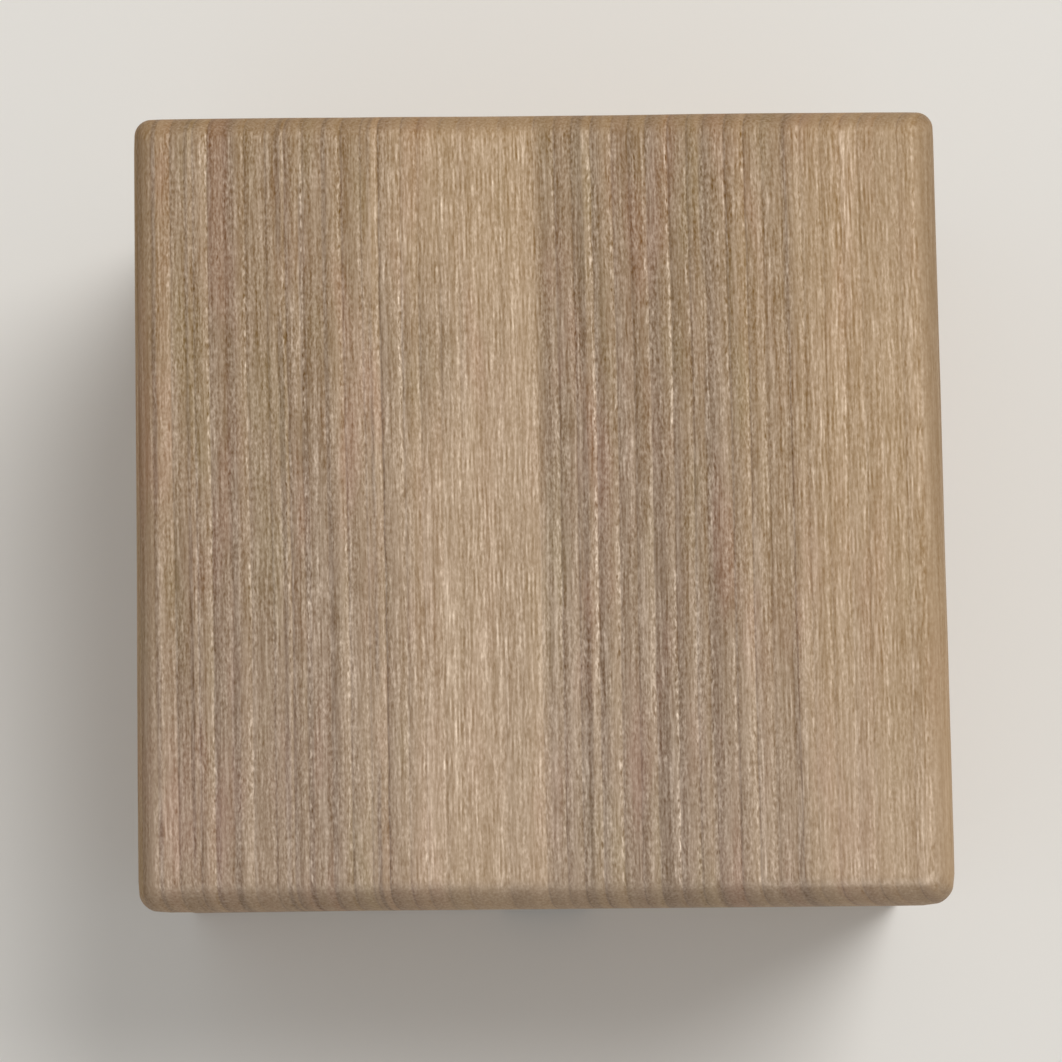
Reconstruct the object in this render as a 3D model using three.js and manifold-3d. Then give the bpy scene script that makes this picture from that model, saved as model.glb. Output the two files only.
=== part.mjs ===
// A paulownia-wood storage box for a tea bowl, closed, with the bowl standing inside.
// Millimetres, +Z up. The origin lies on the surface that the box stands on, under its centre.
// +X runs across the grain of the lid, +Y along it, and the front of the box faces -Y.
import * as THREE from "three";
import { mergeVertices } from "three/addons/utils/BufferGeometryUtils.js";
import Module from "manifold-3d";

// Lid board: one plank whose upper edges are rounded over nearly its whole thickness.
const LID_WIDTH = 157;
const LID_DEPTH = 155;
const LID_THICKNESS = 11;
const LID_CORNER = 3;
const LID_CORNER_STEPS = 6;
const ROUND_IN = 6;
const ROUND_DOWN = 10;
const ROUND_STEPS = 16;
const LID_OVERHANG = 1.5;
const LID_GAP = 0.2;

// Walls of the box, joined at the corners by interlocking fingers.
const WALL = 8.5;
const WALL_HEIGHT = 96;
const FINGERS = 5;
const JOINT_GAP = 0.1;
const EASED_EDGE = 0.6;
const EASED_EDGE_STEPS = 3;
const EASED_CORNER = 0.8;
const EASED_CORNER_STEPS = 4;

// Base board, held between the walls and raised off the ground so that a tie can pass under it.
const BASE_THICKNESS = 8;
const BASE_RAISE = 6;
const BASE_GAP = 0.15;
const SLOT_WIDTH = 18;

// Battens under the lid, mitred into a frame that drops into the mouth of the box.
const BATTEN_WIDTH = 10;
const BATTEN_DROP = 7;
const BATTEN_CHAMFER = 1.5;
const BATTEN_CLEARANCE = 0.6;

// Wooden nails. They taper, and are driven in and planed flush.
const NAIL_RADIUS = 1.25;
const NAIL_TIP_RADIUS = 0.9;
const NAIL_LENGTH = 18;
const NAIL_SIDES = 12;
const HOLE_PLAY = 0.08;
const HOLE_EXTRA = 0.3;
const PEG_RADIUS = 1;
const PEG_TIP_RADIUS = 0.8;
const PEG_LENGTH = 11;

// Tea bowl. Each named place on its half section is a radius and a height above its foot's edge.
const BOWL_RADIUS = 61;
const BOWL_HEIGHT = 71.5;
const BOWL_GAP = 0.3;
const BOWL_SIDES = 48;
const LIP_RADIUS = 1.6;
const NECK = [60.3, 65];
const WAIST = [58.7, 52];
const BELLY = [59.4, 35];
const HIP = [54.5, 21];
const UNDERSIDE = [42, 10.5];
const FOOT_RADIUS = 27;
const FOOT_HEIGHT = 6;
const FOOT_WALL = 5;
const FOOT_TAPER = 0.8;
const FOOT_EASING = 0.7;
const FOOT_HOLLOW = [19, 4.8];
const FOOT_HOLLOW_MIDDLE = [6, 4.4];
const FOOT_HOLLOW_CENTRE = [0, 3.4];
const INNER_NECK = [55.3, 60];
const INNER_WAIST = [54.3, 48];
const INNER_BELLY = [52.2, 28];
const INNER_HIP = [42, 16.5];
const WELL_EDGE = [21, 10.8];
const WELL_CENTRE = [0, 9.6];

// Points that each curve of the bowl's half section is drawn with.
const FOOT_HOLLOW_STEPS = 8;
const OUTSIDE_STEPS = 18;
const LIP_STEPS = 6;
const INSIDE_STEPS = 16;

// Corners closer than this are one corner.
const MERGE_DISTANCE = 1e-4;

const BODY_WIDTH = LID_WIDTH - 2 * LID_OVERHANG;
const BODY_DEPTH = LID_DEPTH - 2 * LID_OVERHANG;
const FINGER_HEIGHT = WALL_HEIGHT / FINGERS;
const BASE_TOP = BASE_RAISE + BASE_THICKNESS;

// The four sides, each turned a quarter of a circle from the last. A side's own frame has its
// wall at -Y, with X along the wall. The front and back walls have a finger on every even level.
const SIDES = [
  { name: "front", span: BODY_WIDTH, reach: BODY_DEPTH / 2, firstFinger: 0 },
  { name: "right", span: BODY_DEPTH, reach: BODY_WIDTH / 2, firstFinger: 1 },
  { name: "back", span: BODY_WIDTH, reach: BODY_DEPTH / 2, firstFinger: 0 },
  { name: "left", span: BODY_DEPTH, reach: BODY_WIDTH / 2, firstFinger: 1 },
];

const lidWood = wood("lid wood", 0xa79078);
const wallWood = wood("wall wood", 0xab957b);
const battenWood = wood("batten wood", 0xb39c80);
const nailWood = wood("nail wood", 0x8f7450);
const glaze = new THREE.MeshStandardMaterial({ name: "glaze", color: 0xb8ac93, roughness: 0.35 });

const wasm = await Module();
wasm.setup();

function wood(name, color) {
  return new THREE.MeshStandardMaterial({ name, color, roughness: 0.75, metalness: 0 });
}

// A closed geometry as a solid that can be cut and joined.
function solidOf(geometry) {
  const plain = geometry.clone();
  plain.deleteAttribute("normal");
  plain.deleteAttribute("uv");
  const merged = mergeVertices(plain, MERGE_DISTANCE);
  const corners = merged.index.array;
  const triangles = [];
  for (let i = 0; i < corners.length; i += 3) {
    const [a, b, c] = [corners[i], corners[i + 1], corners[i + 2]];
    if (a !== b && b !== c && c !== a) triangles.push(a, b, c);
  }
  return new wasm.Manifold(
    new wasm.Mesh({
      numProp: 3,
      vertProperties: merged.attributes.position.array,
      triVerts: new Uint32Array(triangles),
    }),
  );
}

function geometryOf(solid) {
  const { vertProperties, triVerts } = solid.getMesh();
  const geometry = new THREE.BufferGeometry();
  geometry.setAttribute("position", new THREE.BufferAttribute(vertProperties, 3));
  geometry.setIndex(new THREE.BufferAttribute(triVerts, 1));
  geometry.computeVertexNormals();
  return geometry;
}

function cutFrom(solid, geometries) {
  return geometries.reduce((rest, geometry) => rest.subtract(solidOf(geometry)), solid);
}

function mesh(name, geometry, material) {
  const made = new THREE.Mesh(geometry, material);
  made.name = name;
  return made;
}

function roundedRectangle(width, depth, radius) {
  const x = width / 2 - radius;
  const y = depth / 2 - radius;
  const shape = new THREE.Shape();
  shape.absarc(x, -y, radius, -Math.PI / 2, 0);
  shape.absarc(x, y, radius, 0, Math.PI / 2);
  shape.absarc(-x, y, radius, Math.PI / 2, Math.PI);
  shape.absarc(-x, -y, radius, Math.PI, 1.5 * Math.PI);
  return shape;
}

// A closed solid through convex outlines with equally many points, from the lowest to the highest.
function loft(levels) {
  const count = levels[0].points.length;
  const positions = levels.flatMap(({ points, z }) => points.flatMap((p) => [p.x, p.y, z]));
  const triangles = [];
  for (let level = 0; level + 1 < levels.length; level++) {
    for (let i = 0; i < count; i++) {
      const here = level * count + i;
      const beside = level * count + ((i + 1) % count);
      triangles.push(here, beside, beside + count, here, beside + count, here + count);
    }
  }
  const top = (levels.length - 1) * count;
  for (let i = 1; i + 1 < count; i++) {
    triangles.push(0, i + 1, i, top, top + i, top + i + 1);
  }
  const geometry = new THREE.BufferGeometry();
  geometry.setAttribute("position", new THREE.Float32BufferAttribute(positions, 3));
  geometry.setIndex(triangles);
  return geometry;
}

// A tapered round rod with its blunt end at the origin, running along +Y.
function rod(radius, tipRadius, length) {
  const geometry = new THREE.CylinderGeometry(tipRadius, radius, length, NAIL_SIDES);
  return geometry.translate(0, length / 2, 0);
}

function nail() {
  return rod(NAIL_RADIUS, NAIL_TIP_RADIUS, NAIL_LENGTH);
}

function nailHole() {
  return rod(NAIL_RADIUS + HOLE_PLAY, NAIL_TIP_RADIUS + HOLE_PLAY, NAIL_LENGTH + HOLE_EXTRA);
}

function peg() {
  return rod(PEG_RADIUS, PEG_TIP_RADIUS, PEG_LENGTH).rotateX(Math.PI / 2);
}

function pegHole() {
  const length = PEG_LENGTH + HOLE_EXTRA;
  return rod(PEG_RADIUS + HOLE_PLAY, PEG_TIP_RADIUS + HOLE_PLAY, length).rotateX(Math.PI / 2);
}

// Places in a side's own frame. Finger nails go through the wall's own fingers into the end of
// the next wall. Base nails go through the wall into the edge of the base board.
function levelHeight(level) {
  return (level + 0.5) * FINGER_HEIGHT;
}

function levelsFrom(first) {
  const levels = [];
  for (let level = first; level < FINGERS; level += 2) levels.push(level);
  return levels;
}

function fingerNailPlaces({ span, reach, firstFinger }) {
  const x = span / 2 - WALL / 2;
  return levelsFrom(firstFinger).flatMap((level) => [
    [-x, -reach, levelHeight(level)],
    [x, -reach, levelHeight(level)],
  ]);
}

function baseNailPlaces({ span, reach }) {
  const z = BASE_RAISE + BASE_THICKNESS / 2;
  return [-1, 1].map((end) => [(end * span) / 4, -reach, z]);
}

// Holes that the next walls' nails need in the two ends of this wall.
function endHoles({ span, reach, firstFinger }) {
  return levelsFrom(1 - firstFinger).flatMap((level) =>
    [-1, 1].map((end) =>
      nailHole()
        .rotateZ((end * Math.PI) / 2)
        .translate((end * span) / 2, -reach + WALL / 2, levelHeight(level)),
    ),
  );
}

// Outline of a wall seen square on: fingers at both ends, and a slot for a tie in its lower edge.
function wallOutline({ span, firstFinger }) {
  const tip = span / 2;
  const core = tip - WALL - JOINT_GAP;
  const end = [];
  for (let level = 0; level < FINGERS; level++) {
    const isFinger = level % 2 === firstFinger;
    const inset = (isFinger ? 1 : -1) * (JOINT_GAP / 2);
    const low = level === 0 ? 0 : level * FINGER_HEIGHT + inset;
    const high = level === FINGERS - 1 ? WALL_HEIGHT : (level + 1) * FINGER_HEIGHT - inset;
    const x = isFinger ? tip : core;
    end.push([x, low], [x, high]);
  }
  const slot = [
    [-SLOT_WIDTH / 2, 0],
    [-SLOT_WIDTH / 2, BASE_RAISE],
    [SLOT_WIDTH / 2, BASE_RAISE],
    [SLOT_WIDTH / 2, 0],
  ];
  const otherEnd = end.map(([x, z]) => [-x, z]).reverse();
  return new THREE.Shape([...slot, ...end, ...otherEnd].map(([x, z]) => new THREE.Vector2(x, z)));
}

// The box as it is planed after gluing, with its outer edges eased. Every wall is trimmed to it.
function easedBlock({ span, reach }) {
  const width = span - 2 * EASED_EDGE;
  const depth = 2 * reach - 2 * EASED_EDGE;
  return new THREE.ExtrudeGeometry(roundedRectangle(width, depth, EASED_CORNER), {
    depth: WALL_HEIGHT - 2 * EASED_EDGE,
    bevelThickness: EASED_EDGE,
    bevelSize: EASED_EDGE,
    bevelSegments: EASED_EDGE_STEPS,
    curveSegments: EASED_CORNER_STEPS,
  }).translate(0, 0, EASED_EDGE);
}

function wallGeometry(side) {
  const board = new THREE.ExtrudeGeometry(wallOutline(side), { depth: WALL, bevelEnabled: false });
  board.rotateX(Math.PI / 2).translate(0, WALL - side.reach, 0);
  const nails = [...fingerNailPlaces(side), ...baseNailPlaces(side)];
  const holes = nails.map((place) => nailHole().translate(...place));
  const trimmed = solidOf(board).intersect(solidOf(easedBlock(side)));
  return geometryOf(cutFrom(trimmed, [...holes, ...endHoles(side)]));
}

function baseGeometry() {
  const width = BODY_WIDTH - 2 * (WALL + BASE_GAP);
  const depth = BODY_DEPTH - 2 * (WALL + BASE_GAP);
  const board = new THREE.BoxGeometry(width, depth, BASE_THICKNESS);
  board.translate(0, 0, BASE_RAISE + BASE_THICKNESS / 2);
  const holes = SIDES.flatMap((side, turn) =>
    baseNailPlaces(side).map((place) =>
      nailHole()
        .translate(...place)
        .rotateZ((turn * Math.PI) / 2),
    ),
  );
  return geometryOf(cutFrom(solidOf(board), holes));
}

// A wall and its nails, in the side's own frame.
function boxSide(side) {
  const group = new THREE.Group();
  group.add(mesh(`${side.name}_wall`, wallGeometry(side), wallWood));
  fingerNailPlaces(side).forEach((place, i) => {
    const made = mesh(`${side.name}_finger_nail_${i + 1}`, nail(), nailWood);
    made.position.set(...place);
    group.add(made);
  });
  baseNailPlaces(side).forEach((place, i) => {
    const made = mesh(`${side.name}_base_nail_${i + 1}`, nail(), nailWood);
    made.position.set(...place);
    group.add(made);
  });
  return group;
}

function box() {
  const group = new THREE.Group();
  group.add(mesh("base_board", baseGeometry(), wallWood));
  SIDES.forEach((side, turn) => {
    const made = boxSide(side);
    made.rotation.z = (turn * Math.PI) / 2;
    group.add(made);
  });
  return group;
}

// The batten frame's outer half-length and its distance from the middle, in a side's own frame.
function battenReach({ span, reach }) {
  return {
    half: span / 2 - WALL - BATTEN_CLEARANCE,
    out: reach - WALL - BATTEN_CLEARANCE,
  };
}

function pegPlaces(side) {
  const { half, out } = battenReach(side);
  return [-1, 1].map((end) => [(end * half) / 2, -out + BATTEN_WIDTH / 2, -BATTEN_DROP]);
}

// The board's upper face stays flat up to where the rounded edge begins, a quarter of an ellipse.
function lidBoardGeometry() {
  const outline = (inset) => {
    const shape = roundedRectangle(LID_WIDTH - 2 * inset, LID_DEPTH - 2 * inset, LID_CORNER);
    return shape.getPoints(LID_CORNER_STEPS);
  };
  const levels = [{ points: outline(0), z: 0 }];
  for (let step = 0; step <= ROUND_STEPS; step++) {
    const angle = (step / ROUND_STEPS) * (Math.PI / 2);
    levels.push({
      points: outline(ROUND_IN * (1 - Math.cos(angle))),
      z: LID_THICKNESS - ROUND_DOWN * (1 - Math.sin(angle)),
    });
  }
  const holes = SIDES.flatMap((side, turn) =>
    pegPlaces(side).map((place) =>
      pegHole()
        .translate(...place)
        .rotateZ((turn * Math.PI) / 2),
    ),
  );
  return geometryOf(cutFrom(solidOf(loft(levels)), holes));
}

// A batten with a chamfered outer lower edge, mitred at both ends.
function battenGeometry(side) {
  const { half, out } = battenReach(side);
  const section = new THREE.Shape();
  section.moveTo(0, 0);
  section.lineTo(BATTEN_WIDTH, 0);
  section.lineTo(BATTEN_WIDTH, -BATTEN_DROP);
  section.lineTo(BATTEN_CHAMFER, -BATTEN_DROP);
  section.lineTo(0, BATTEN_CHAMFER - BATTEN_DROP);
  const bar = new THREE.ExtrudeGeometry(section, { depth: 2 * half, bevelEnabled: false });
  bar.rotateX(Math.PI / 2).rotateZ(Math.PI / 2).translate(-half, -out, 0);
  const mitre = new THREE.Shape();
  mitre.moveTo(JOINT_GAP - half, -out);
  mitre.lineTo(half - JOINT_GAP, -out);
  mitre.lineTo(half - BATTEN_WIDTH - JOINT_GAP, BATTEN_WIDTH - out);
  mitre.lineTo(JOINT_GAP + BATTEN_WIDTH - half, BATTEN_WIDTH - out);
  const ends = new THREE.ExtrudeGeometry(mitre, { depth: BATTEN_DROP, bevelEnabled: false });
  ends.translate(0, 0, -BATTEN_DROP);
  const holes = pegPlaces(side).map((place) => pegHole().translate(...place));
  return geometryOf(cutFrom(solidOf(bar).intersect(solidOf(ends)), holes));
}

function lidSide(side) {
  const group = new THREE.Group();
  group.add(mesh(`${side.name}_batten`, battenGeometry(side), battenWood));
  pegPlaces(side).forEach((place, i) => {
    const made = mesh(`${side.name}_batten_peg_${i + 1}`, peg(), nailWood);
    made.position.set(...place);
    group.add(made);
  });
  return group;
}

function lid() {
  const group = new THREE.Group();
  group.add(mesh("lid_board", lidBoardGeometry(), lidWood));
  SIDES.forEach((side, turn) => {
    const made = lidSide(side);
    made.rotation.z = (turn * Math.PI) / 2;
    group.add(made);
  });
  group.position.z = WALL_HEIGHT + LID_GAP;
  return group;
}

// A curve of the bowl's half section through places given as radius and height.
function curveThrough(places, steps) {
  return new THREE.SplineCurve(places.map((place) => new THREE.Vector2(...place))).getPoints(steps);
}

// Half section of the bowl, from the hollow under its foot, out and up to the rim, and back inside.
function bowlProfile() {
  const footInner = FOOT_RADIUS - FOOT_WALL;
  const lipMiddle = BOWL_RADIUS - LIP_RADIUS;
  const lipHeight = BOWL_HEIGHT - LIP_RADIUS;
  const lip = new THREE.EllipseCurve(lipMiddle, lipHeight, LIP_RADIUS, LIP_RADIUS, 0, Math.PI);
  const footHollow = [
    FOOT_HOLLOW_CENTRE,
    FOOT_HOLLOW_MIDDLE,
    FOOT_HOLLOW,
    [footInner - FOOT_EASING, FOOT_HOLLOW[1] / 2],
    [footInner, 0],
  ];
  const outside = [
    [FOOT_RADIUS - FOOT_TAPER, FOOT_HEIGHT],
    UNDERSIDE,
    HIP,
    BELLY,
    WAIST,
    NECK,
    [BOWL_RADIUS, lipHeight],
  ];
  const inside = [
    [lipMiddle - LIP_RADIUS, lipHeight],
    INNER_NECK,
    INNER_WAIST,
    INNER_BELLY,
    INNER_HIP,
    WELL_EDGE,
    WELL_CENTRE,
  ];
  return [
    ...curveThrough(footHollow, FOOT_HOLLOW_STEPS),
    new THREE.Vector2(FOOT_RADIUS - FOOT_EASING, 0),
    new THREE.Vector2(FOOT_RADIUS, FOOT_EASING),
    ...curveThrough(outside, OUTSIDE_STEPS),
    ...lip.getPoints(LIP_STEPS).slice(1, -1),
    ...curveThrough(inside, INSIDE_STEPS),
  ];
}

function bowl() {
  const turned = new THREE.LatheGeometry(bowlProfile(), BOWL_SIDES).rotateX(Math.PI / 2);
  const made = mesh("bowl", geometryOf(solidOf(turned)), glaze);
  made.position.z = BASE_TOP + BOWL_GAP;
  return made;
}

const teaBowlBox = new THREE.Group();
teaBowlBox.add(box(), lid(), bowl());

export default teaBowlBox;
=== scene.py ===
import math

import bpy
from bpy.props import FloatProperty, FloatVectorProperty, IntProperty, PointerProperty
from bpy.types import Operator, Panel, PropertyGroup
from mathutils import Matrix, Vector


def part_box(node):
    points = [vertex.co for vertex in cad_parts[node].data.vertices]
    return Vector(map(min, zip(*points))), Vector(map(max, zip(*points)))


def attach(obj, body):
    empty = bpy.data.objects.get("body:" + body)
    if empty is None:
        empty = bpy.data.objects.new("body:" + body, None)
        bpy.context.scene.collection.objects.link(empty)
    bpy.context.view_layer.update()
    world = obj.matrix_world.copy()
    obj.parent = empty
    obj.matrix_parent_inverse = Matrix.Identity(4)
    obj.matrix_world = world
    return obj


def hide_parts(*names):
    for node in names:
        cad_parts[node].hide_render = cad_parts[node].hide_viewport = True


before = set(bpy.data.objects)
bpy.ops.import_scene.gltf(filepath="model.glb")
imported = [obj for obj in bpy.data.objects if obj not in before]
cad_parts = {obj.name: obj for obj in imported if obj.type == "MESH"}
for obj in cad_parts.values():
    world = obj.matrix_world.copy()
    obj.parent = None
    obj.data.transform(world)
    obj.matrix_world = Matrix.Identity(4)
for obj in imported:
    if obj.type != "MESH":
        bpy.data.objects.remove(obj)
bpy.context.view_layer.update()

bl_info = {
    "name": "Boxed Tea Bowl",
    "version": (1, 0, 0),
    "blender": (4, 5, 0),
    "location": "3D View > Sidebar > Tea Bowl",
    "description": "Finishes a paulownia storage box and the tea bowl inside it",
    "category": "Object",
}

MM = 0.001
AXES = "XYZ"
WHITE = (1, 1, 1, 1)

# Numbers of a Mix node's colour sockets: its two inputs, and its output.
FIRST_COLOUR = 6
SECOND_COLOUR = 7
MIXED_COLOUR = 2

# Corners closer than this are one corner, and faces that turn less than this are one face.
SAME_PLACE = 0.001 * MM
SAME_FACE = math.radians(0.3)

# A plane takes the easing off each edge that is sharper and longer than these.
EASING = 0.3 * MM
SHARP_EDGE = math.radians(30)
SHORT_EDGE = 3 * MM

# Which way the grain runs in each board: across the grain, along it, and into the board.
GRAIN = {
    "lid_board": "XYZ",
    "base_board": "YXZ",
    "front_wall": "ZXY",
    "back_wall": "ZXY",
    "right_wall": "ZYX",
    "left_wall": "ZYX",
    "front_batten": "YXZ",
    "back_batten": "YXZ",
    "right_batten": "XYZ",
    "left_batten": "XYZ",
}
WALLS = ("front_wall", "right_wall", "back_wall", "left_wall", "base_board")
BATTENS = ("front_batten", "right_batten", "back_batten", "left_batten")

# Numbers of the boards, and how far each one's pattern is moved from that of the one before.
LID_NUMBER = 0
FIRST_WALL = 1
FIRST_BATTEN = 11
NEXT_BOARD = 37.0

# Stops of light by which the battens, shut away under the lid, have stayed paler.
BATTENS_PALER = 0.12

# Growth of the lid board, read across it from left to right: millimetres from the middle, and
# how pale the wood is there, from 0 for the brown heart to 1 for the pale growth.
LID_TONES = (
    (-80, 0.50), (-62, 0.37), (-40, 0.32), (-32, 0.61), (-22, 0.88), (-12, 0.99), (0, 0.89),
    (2, 0.27), (14, 0.23), (20, 0.25), (33, 0.36), (40, 0.58), (48, 0.66), (53, 0.89), (80, 0.94),
)
# Dark late growth in the lid board: place and width in millimetres, and strength.
LID_DARK_LINES = (
    (-73.6, 0.7, 0.5), (-67.2, 0.6, 0.55), (-62.6, 0.7, 0.45), (-59.0, 1.2, 0.45), (-49.2, 0.9, 0.65),
    (-45.0, 0.8, 0.6), (-40.4, 0.6, 0.4), (-31.8, 0.7, 0.6), (8.9, 1.1, 0.5), (32.5, 1.0, 0.65),
    (48.3, 0.9, 0.35),
)


def srgb(red, green, blue):
    """A colour given in screen levels from 0 to 255, as the linear values that a shader mixes."""
    return tuple(
        level / 255 / 12.92 if level <= 10 else ((level / 255 + 0.055) / 1.055) ** 2.4
        for level in (red, green, blue)
    )


class TeaBowlBoxTimber(PropertyGroup):
    """Colours and figure of the paulownia boards and of the wooden nails."""

    heart: FloatVectorProperty(
        name="Heart", description="Colour of the darker brown growth",
        subtype="COLOR", size=3, min=0, max=1, default=srgb(146, 125, 106),
    )
    pale: FloatVectorProperty(
        name="Pale growth", description="Colour of the wide pale growth",
        subtype="COLOR", size=3, min=0, max=1, default=srgb(181, 156, 129),
    )
    rose: FloatVectorProperty(
        name="Rose", description="Tint of the rosy streaks, as a share of the wood's colour",
        subtype="COLOR", size=3, min=0, max=2, default=(1.045, 0.97, 1.0),
    )
    olive: FloatVectorProperty(
        name="Olive", description="Tint of the greenish streaks, as a share of the wood's colour",
        subtype="COLOR", size=3, min=0, max=2, default=(0.975, 1.0, 0.94),
    )
    # This tint stands partly for handling and partly for painted shade on the lid's edges.
    grime_and_shade: FloatVectorProperty(
        name="Handling", description="Tint of handled edges, as a share of the wood's colour",
        subtype="COLOR", size=3, min=0, max=2, default=(0.955, 0.83, 0.58),
    )
    sunned: FloatVectorProperty(
        name="Sunned", description="Tint of wood yellowed by light, as a share of its colour",
        subtype="COLOR", size=3, min=0, max=2, default=(0.925, 0.873, 0.755),
    )
    end_grain: FloatVectorProperty(
        name="End grain", description="Tint of end grain, as a share of the wood's colour",
        subtype="COLOR", size=3, min=0, max=2, default=(0.74, 0.71, 0.66),
    )
    fibre: FloatVectorProperty(
        name="Fibre", description="Light that the fine figure adds or takes away",
        subtype="COLOR", size=3, min=0, max=1, default=(0.33, 0.285, 0.238),
    )
    ring: FloatProperty(
        name="Ring spacing", description="Usual distance between growth rings",
        unit="LENGTH", subtype="DISTANCE", min=1 * MM, max=20 * MM, default=3.7 * MM,
    )
    figure: FloatProperty(
        name="Figure", description="Strength of the fine grain lines and pores",
        min=0, max=2, default=1.15,
    )
    nail: FloatVectorProperty(
        name="Nail", description="Colour of the dense wood of the nails and pegs",
        subtype="COLOR", size=3, min=0, max=1, default=srgb(150, 119, 80),
    )


class TeaBowlBoxBowl(PropertyGroup):
    """Sizes and colours of the bowl."""

    sides: IntProperty(
        name="Sides", description="Vertices in each turned ring", min=24, max=192, default=72,
    )
    throwing: FloatProperty(
        name="Throwing rings", description="How far the potter's spiral stands out",
        unit="LENGTH", subtype="DISTANCE", default=0.22 * MM,
    )
    throwing_pitch: FloatProperty(
        name="Throwing pitch", description="Climb of the potter's spiral in one turn",
        unit="LENGTH", subtype="DISTANCE", default=6.5 * MM,
    )
    wavy_rim: FloatProperty(
        name="Wavy rim", description="How far the rim dips between its high places",
        unit="LENGTH", subtype="DISTANCE", default=1.3 * MM,
    )
    out_of_round: FloatProperty(
        name="Out of round", description="How far the wall strays from a true circle",
        unit="LENGTH", subtype="DISTANCE", default=0.45 * MM,
    )
    glaze: FloatVectorProperty(
        name="Glaze", description="Colour of the glaze where it is thick",
        subtype="COLOR", size=3, min=0, max=1, default=srgb(211, 193, 165),
    )
    blush: FloatVectorProperty(
        name="Blush", description="Colour of the rosy spots in the glaze",
        subtype="COLOR", size=3, min=0, max=1, default=srgb(204, 164, 140),
    )
    thin_glaze: FloatVectorProperty(
        name="Thin glaze", description="Colour of the glaze where it breaks over ridges and the rim",
        subtype="COLOR", size=3, min=0, max=1, default=srgb(176, 138, 100),
    )
    clay: FloatVectorProperty(
        name="Clay", description="Colour of the bare clay at the foot",
        subtype="COLOR", size=3, min=0, max=1, default=srgb(158, 113, 80),
    )
    stain: FloatVectorProperty(
        name="Tea stain", description="Tint of the crackle, as a share of the glaze's colour",
        subtype="COLOR", size=3, min=0, max=1, default=(0.42, 0.33, 0.24),
    )
    iron: FloatVectorProperty(
        name="Iron specks", description="Tint of the specks, as a share of the glaze's colour",
        subtype="COLOR", size=3, min=0, max=1, default=(0.30, 0.20, 0.12),
    )


class TeaBowlBoxStudio(PropertyGroup):
    """Camera, floor, lamp and sky."""

    camera_place: FloatVectorProperty(
        name="Camera place", description="Where the camera stands",
        subtype="TRANSLATION", unit="LENGTH", size=3, default=(0.0, -0.088, 0.8572),
    )
    camera_turn: FloatVectorProperty(
        name="Camera turn", description="How the camera is turned from looking straight down",
        subtype="EULER", unit="ROTATION", size=3,
        default=(math.radians(6.283), math.radians(0.221), math.radians(-0.777)),
    )
    lens: FloatProperty(
        name="Lens", description="Focal length on a sensor 36 mm wide, in millimetres",
        unit="CAMERA", min=10, max=300, default=133.3,
    )
    floor: FloatVectorProperty(
        name="Floor", description="Colour of the floor",
        subtype="COLOR", size=3, min=0, max=1, default=srgb(232, 229, 223),
    )
    key_place: FloatVectorProperty(
        name="Key lamp place", description="Where the large lamp is, beyond the right back corner",
        subtype="TRANSLATION", unit="LENGTH", size=3, default=(1.32, 1.44, 3.0),
    )
    key_width: FloatProperty(
        name="Key lamp width", description="Width of the large lamp's round face",
        unit="LENGTH", subtype="DISTANCE", default=1.95,
    )
    key_power: FloatProperty(
        name="Key lamp power", description="Power of the large lamp, in watts",
        unit="POWER", min=0, max=200, default=68,
    )
    sky: FloatProperty(
        name="Sky", description="Strength of the soft light from all round", min=0, max=2, default=0.5,
    )


class Wire:
    """A value in a material. Arithmetic on it adds Math nodes."""

    def __init__(self, graph, socket):
        self.graph = graph
        self.socket = socket

    def __add__(self, other):
        return self.graph.math("ADD", self, other)

    def __sub__(self, other):
        return self.graph.math("SUBTRACT", self, other)

    def __rsub__(self, other):
        return self.graph.math("SUBTRACT", other, self)

    def __mul__(self, other):
        return self.graph.math("MULTIPLY", self, other)

    def __truediv__(self, other):
        return self.graph.math("DIVIDE", self, other)

    __radd__ = __add__


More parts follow.
